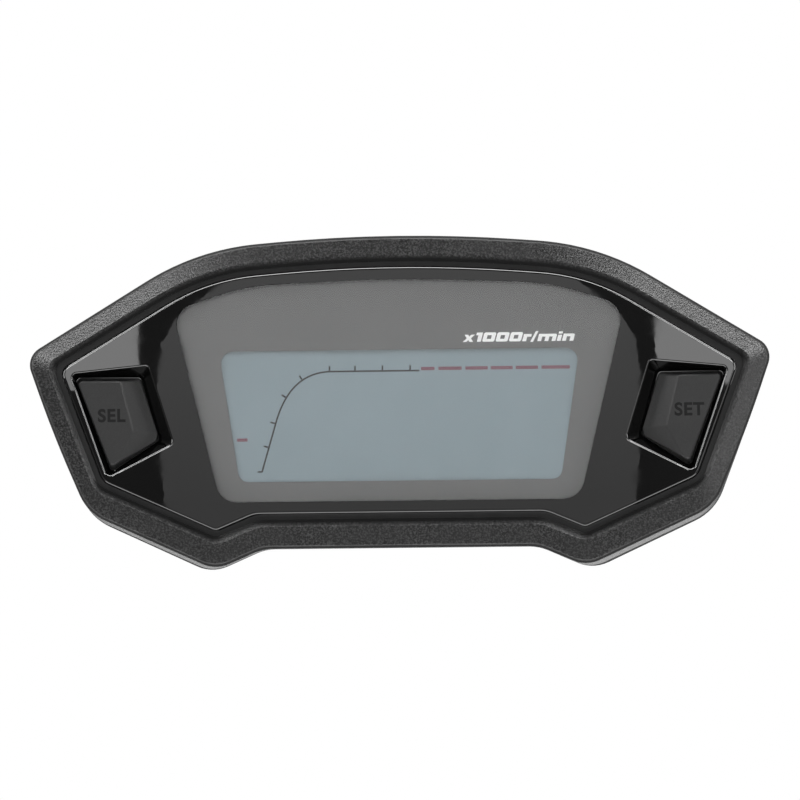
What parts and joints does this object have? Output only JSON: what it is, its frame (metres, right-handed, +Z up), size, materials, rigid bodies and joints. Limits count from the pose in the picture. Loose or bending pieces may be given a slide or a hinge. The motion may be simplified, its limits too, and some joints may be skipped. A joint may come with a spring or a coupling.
{
  "type": "motorcycle instrument cluster",
  "caption": "Sealed angular LCD meter for a motorcycle: textured frame, gloss fascia, wide window, push button in a sunk well at each side.",
  "frame": {"origin": "on the rear mounting land, on the vertical centre line, 9 mm below the two upper inserts", "axes": "+Z up, +X to the rider's right, +Y out of the rear face, so the display faces -Y"},
  "size_m": [0.175, 0.0296, 0.0785],
  "materials": {
    "textured_black": "fine-grained moulded texture",
    "gloss_black": "piano gloss",
    "clear_window": "polished clear acrylic",
    "satin_black": "satin moulded",
    "mask_print": "smooth printed grey film",
    "display_glass": "polished liquid crystal cell",
    "polariser_film": "satin polarising film",
    "clear_guide": "polished acrylic",
    "white_plastic": "smooth white reflector plastic",
    "black_rubber": "soft moulded",
    "silicone": "soft silicone",
    "circuit_board": "solder mask over glass fibre",
    "chip_plastic": "moulded epoxy",
    "can_aluminium": "drawn can",
    "led_emitter": "moulded lens",
    "switch_plastic": "smooth moulded",
    "connector_plastic": "glass-filled, satin",
    "pin_metal": "tinned contact",
    "brass": "machined",
    "screw_steel": "black zinc plated",
    "vent_membrane": "porous membrane"
  },
  "bodies": {
    "housing": {"front_bezel": "textured_black", "rear_housing": "textured_black", "gloss_fascia": "gloss_black", "window_lens": "clear_window", "window_gasket": "black_rubber", "fascia_seal": "black_rubber", "housing_seal": "black_rubber", "connector_seal": "black_rubber", "button_boot_left": "silicone", "button_boot_right": "silicone", "switch_body_left": "switch_plastic", "switch_body_right": "switch_plastic", "dial_mask": "mask_print", "front_polariser": "polariser_film", "rear_polariser": "polariser_film", "front_glass": "display_glass", "rear_glass": "display_glass", "diffuser": "white_plastic", "light_guide": "clear_guide", "backlight_leds": "led_emitter", "telltale_leds": "led_emitter", "lcd_carrier": "white_plastic", "light_tunnel": "switch_plastic", "contact_strip": "black_rubber", "main_board": "circuit_board", "chip_packages": "chip_plastic", "capacitors": "can_aluminium", "connector_header": "connector_plastic", "connector_pins": "pin_metal", "mount_inserts": "brass", "housing_screws": "screw_steel", "board_screws": "screw_steel", "breather_vent": "vent_membrane"},
    "button_left": {"button_left": "satin_black"},
    "button_right": {"button_right": "satin_black"},
    "plunger_left": {"switch_plunger_left": "switch_plastic"},
    "plunger_right": {"switch_plunger_right": "switch_plastic"}
  },
  "joints": [
    {"name": "button_left_press", "type": "slide", "parent": "housing", "child": "button_left", "axis": [0, 1, 0], "range_m": [0, 0.0008], "stiffness_N_per_m": 2500, "springref_m": -0.0003},
    {"name": "switch_plunger_left_slide", "type": "slide", "parent": "housing", "child": "plunger_left", "axis": [0, 1, 0], "range_m": [0, 0.0008]},
    {"name": "button_right_press", "type": "slide", "parent": "housing", "child": "button_right", "axis": [0, 1, 0], "range_m": [0, 0.0008], "stiffness_N_per_m": 2500, "springref_m": -0.0003},
    {"name": "switch_plunger_right_slide", "type": "slide", "parent": "housing", "child": "plunger_right", "axis": [0, 1, 0], "range_m": [0, 0.0008]}
  ],
  "couplings": [
    {"joint": "switch_plunger_left_slide", "follows": "button_left_press", "ratio": 1},
    {"joint": "switch_plunger_right_slide", "follows": "button_right_press", "ratio": 1}
  ]
}
